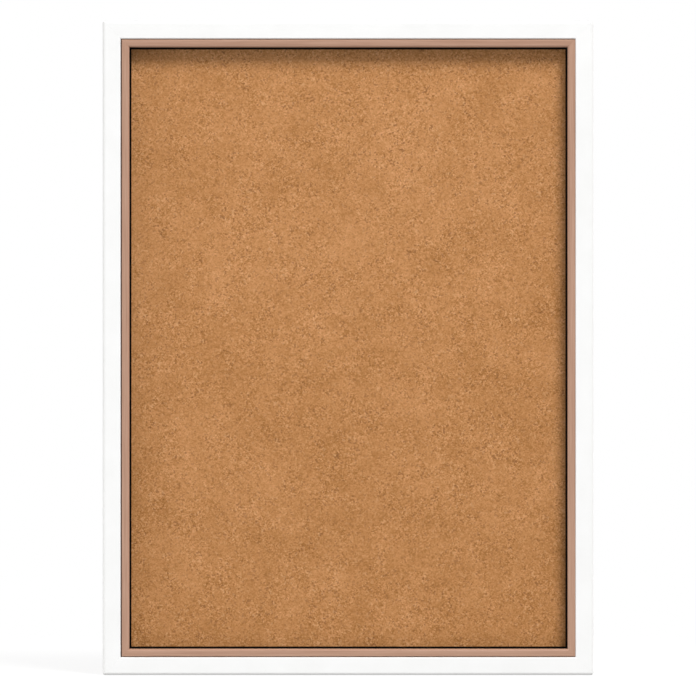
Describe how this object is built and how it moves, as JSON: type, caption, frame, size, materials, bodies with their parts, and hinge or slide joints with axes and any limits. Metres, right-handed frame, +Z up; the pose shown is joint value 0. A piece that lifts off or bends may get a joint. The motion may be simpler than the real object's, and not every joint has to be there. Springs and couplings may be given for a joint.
{
  "type": "cork bulletin board",
  "caption": "Wall-hung cork pinboard: a recessed cork panel in a white mitred frame with a rose-brown inner slip, with swinging D-ring hangers and bumpers behind.",
  "frame": {"origin": "on the wall plane, behind the middle of the board", "axes": "+X to the right seen from the front, +Y from the cork face into the wall, +Z up; the cork faces -Y"},
  "size_m": [0.4572, 0.0325, 0.6096],
  "materials": {
    "white_paint": "satin",
    "slip_lacquer": "satin",
    "cork": "matte",
    "softboard": "matte",
    "hardboard": "matte",
    "plated_steel": "satin",
    "bare_steel": "satin",
    "bumper_rubber": "matte"
  },
  "bodies": {
    "board": {"frame_top_rail": "white_paint", "frame_bottom_rail": "white_paint", "frame_left_stile": "white_paint", "frame_right_stile": "white_paint", "slip_top": "slip_lacquer", "slip_bottom": "slip_lacquer", "slip_left": "slip_lacquer", "slip_right": "slip_lacquer", "cork_sheet": "cork", "softboard_core": "softboard", "hardboard_backing": "hardboard", "corner_v_nails": "bare_steel", "framers_points": "bare_steel", "slip_brads": "bare_steel", "hanger_strap_left": "plated_steel", "hanger_strap_right": "plated_steel", "hanger_screw_left": "plated_steel", "hanger_screw_right": "plated_steel", "wall_bumper_left": "bumper_rubber", "wall_bumper_right": "bumper_rubber"},
    "left_ring": {"d_ring_left": "plated_steel"},
    "right_ring": {"d_ring_right": "plated_steel"}
  },
  "joints": [
    {"name": "left_ring_swing", "type": "hinge", "parent": "board", "child": "left_ring", "pos_m": [-0.2215, -0.0028, 0.1524], "axis": [-1, 0, 0], "range_deg": [-3, 164]},
    {"name": "right_ring_swing", "type": "hinge", "parent": "board", "child": "right_ring", "pos_m": [0.2215, -0.0028, 0.1524], "axis": [-1, 0, 0], "range_deg": [-3, 164]}
  ]
}
